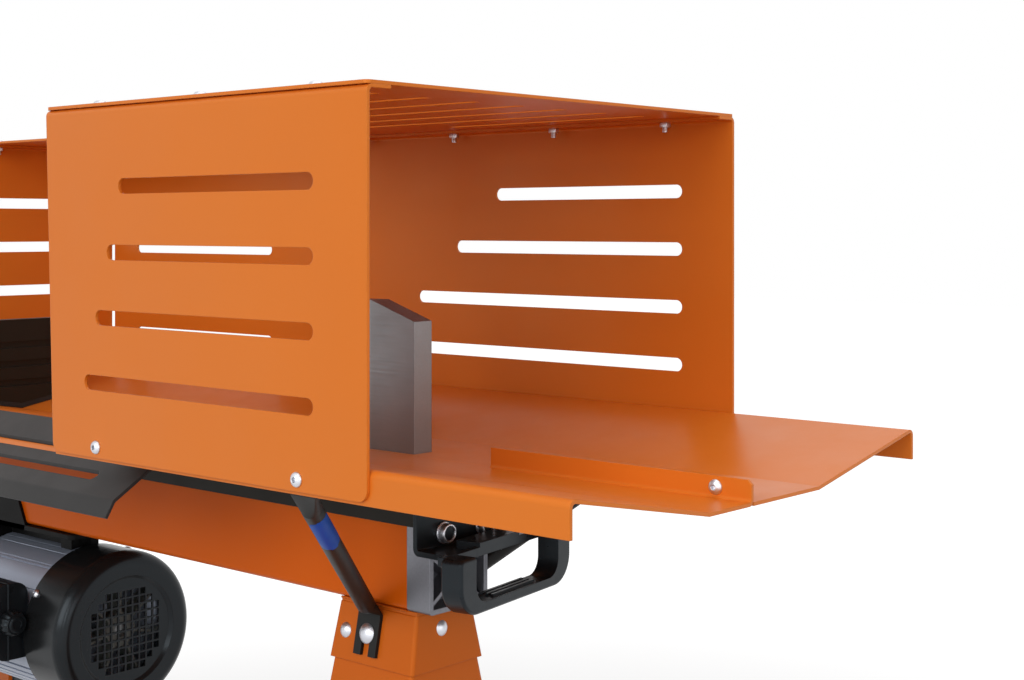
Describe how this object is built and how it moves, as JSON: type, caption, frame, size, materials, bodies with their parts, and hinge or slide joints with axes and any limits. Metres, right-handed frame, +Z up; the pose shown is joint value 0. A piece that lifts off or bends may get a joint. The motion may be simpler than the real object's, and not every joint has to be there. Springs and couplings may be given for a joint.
{
  "type": "electric_log_splitter",
  "caption": "Horizontal electric log splitter: box beam, driven pusher, splitting wedge, slotted sheet guard, outfeed tray, front leg and rear wheels.",
  "frame": {"origin": "the middle of the front foot plate's underside on the ground", "axes": "+X runs along the beam towards the outfeed tray, +Y away from the operator, +Z up"},
  "size_m": [1.64, 0.518, 0.937],
  "materials": {
    "orange_paint": "satin powder coat",
    "black_paint": "satin black paint",
    "grey_paint": "matte dark grey paint",
    "cast_aluminium": "as cast",
    "black_plastic": "fine moulded grain",
    "red_plastic": "gloss",
    "green_plastic": "gloss",
    "zinc_steel": "zinc plated",
    "bare_steel": "ground steel",
    "chrome_steel": "hard chrome",
    "wear_plastic": "plain",
    "tyre_rubber": "solid rubber"
  },
  "bodies": {
    "base": {"beam": "orange_paint", "beam_end_cap": "cast_aluminium", "capacitor_box": "black_plastic", "carrying_handle": "black_plastic", "cross_bracket": "black_paint", "cross_bracket_bolts": "zinc_steel", "cylinder_head_block": "black_paint", "cylinder_rear_cap": "black_paint", "cylinder_tie_rods": "zinc_steel", "cylinder_tube": "black_paint", "end_wall_cleats": "black_paint", "front_foot_plate": "orange_paint", "front_leg_bolts": "zinc_steel", "front_leg_bracket": "orange_paint", "front_leg_lower": "orange_paint", "guard_bolts": "zinc_steel", "guard_end_wall": "orange_paint", "guard_far_left_panel": "orange_paint", "guard_far_right_panel": "orange_paint", "guard_near_panel": "orange_paint", "guard_top_plate": "orange_paint", "guard_top_strip": "orange_paint", "hydraulic_pipes": "zinc_steel", "loading_apron": "grey_paint", "loading_trough": "orange_paint", "motor_fan_cover": "black_plastic", "motor_housing": "cast_aluminium", "motor_mount": "black_paint", "oil_tank": "black_paint", "outfeed_tray_far": "orange_paint", "outfeed_tray_near": "orange_paint", "pan_head_screws": "zinc_steel", "power_inlet": "black_plastic", "pump_valve_block": "cast_aluminium", "rear_stand": "orange_paint", "side_rails": "black_paint", "splitting_wedge": "bare_steel", "switch_box": "black_plastic", "tank_plugs": "zinc_steel", "tray_struts": "black_paint", "valve_block": "zinc_steel", "wedge_base_plate": "bare_steel", "wedge_base_screws": "zinc_steel", "wheel_axle": "zinc_steel"},
    "ram": {"pusher": "black_paint", "pusher_shoe": "wear_plastic", "piston_rod": "chrome_steel", "piston": "bare_steel"},
    "rotor": {"rotor_shaft": "bare_steel", "cooling_fan": "black_plastic"},
    "wheel_near": {"wheel_near_rim": "black_plastic", "wheel_near_tyre": "tyre_rubber"},
    "wheel_far": {"wheel_far_rim": "black_plastic", "wheel_far_tyre": "tyre_rubber"},
    "lever": {"control_lever": "black_paint", "lever_knob": "black_plastic"},
    "spool": {"valve_spool": "bare_steel"},
    "start_switch": {"start_button": "green_plastic"},
    "stop_switch": {"stop_button": "red_plastic"}
  },
  "joints": [
    {"name": "ram_slide", "type": "slide", "parent": "base", "child": "ram", "axis": [1, 0, 0], "range_m": [0, 0.39]},
    {"name": "rotor_spin", "type": "hinge", "parent": "base", "child": "rotor", "pos_m": [-0.6, 0, 0.345], "axis": [1, 0, 0], "continuous": true},
    {"name": "wheel_near_spin", "type": "hinge", "parent": "base", "child": "wheel_near", "pos_m": [-1.028, -0.214, 0.1], "axis": [0, 1, 0], "continuous": true},
    {"name": "wheel_far_spin", "type": "hinge", "parent": "base", "child": "wheel_far", "pos_m": [-1.028, 0.214, 0.1], "axis": [0, 1, 0], "continuous": true},
    {"name": "lever_swing", "type": "hinge", "parent": "base", "child": "lever", "pos_m": [-0.955, -0.0844, 0.48], "axis": [0, -1, 0], "range_deg": [0, 12], "stiffness_Nm_per_rad": 8},
    {"name": "spool_slide", "type": "slide", "parent": "base", "child": "spool", "axis": [-1, 0, 0], "range_m": [0, 0.0068]},
    {"name": "start_button_press", "type": "slide", "parent": "base", "child": "start_switch", "axis": [0, 1, 0], "range_m": [0, 0.003], "stiffness_N_per_m": 800},
    {"name": "stop_button_press", "type": "slide", "parent": "base", "child": "stop_switch", "axis": [0, 1, 0], "range_m": [0, 0.003], "stiffness_N_per_m": 800}
  ],
  "couplings": [
    {"joint": "spool_slide", "follows": "lever_swing", "m_per_rad": 0.032}
  ]
}
